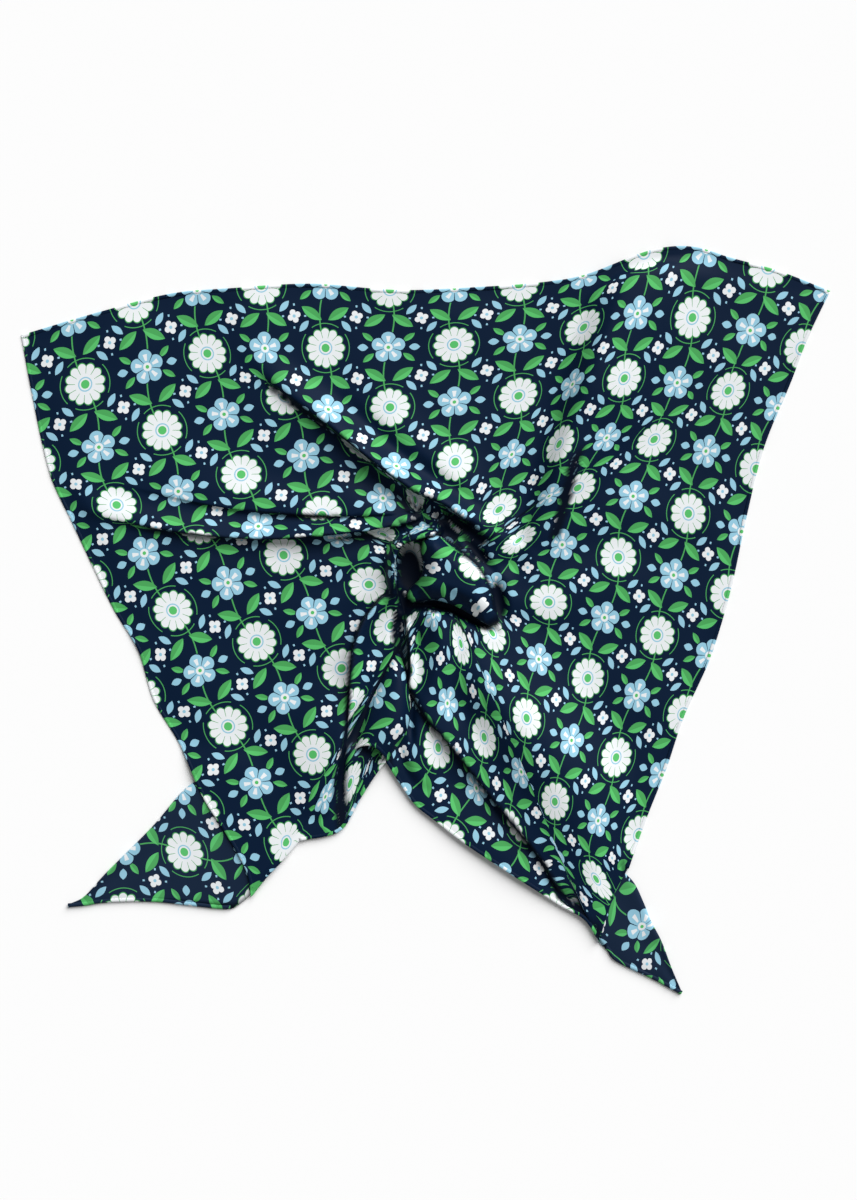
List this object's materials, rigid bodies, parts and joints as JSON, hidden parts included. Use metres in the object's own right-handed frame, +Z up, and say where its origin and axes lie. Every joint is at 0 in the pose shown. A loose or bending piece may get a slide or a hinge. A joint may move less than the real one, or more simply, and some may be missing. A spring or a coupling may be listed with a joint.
{
  "type": "silk square scarf",
  "caption": "Square silk scarf laid face up, gathered and twisted at its middle, with its two lower corners turned under as tails; narrow turned hems.",
  "frame": {"origin": "on the table surface, below the middle of the outline's box", "axes": "+X to the right along the top hem, +Y towards the top hem, +Z up from the table"},
  "size_m": [0.8817, 0.8144, 0.046],
  "materials": {
    "silk_face": "navy silk twill printed in green, light blue and white, soft sheen",
    "silk_reverse": "reverse of the printed silk twill, the print showing through nearly as strong",
    "silk_hem": "the same silk turned over twice and stitched, slightly puckered"
  },
  "bodies": {
    "root": {"top_layer": "silk_face", "twist_lobe": "silk_face", "twist_collar": "silk_face", "lower_pleat": "silk_face", "left_tail": "silk_reverse", "right_tail": "silk_reverse", "hem_top": "silk_hem", "hem_left": "silk_hem", "hem_right": "silk_hem", "hem_bottom_left": "silk_hem", "hem_bottom_right": "silk_hem", "hem_left_tail": "silk_hem", "hem_right_tail": "silk_hem", "hem_pleat": "silk_hem"}
  },
  "joints": []
}
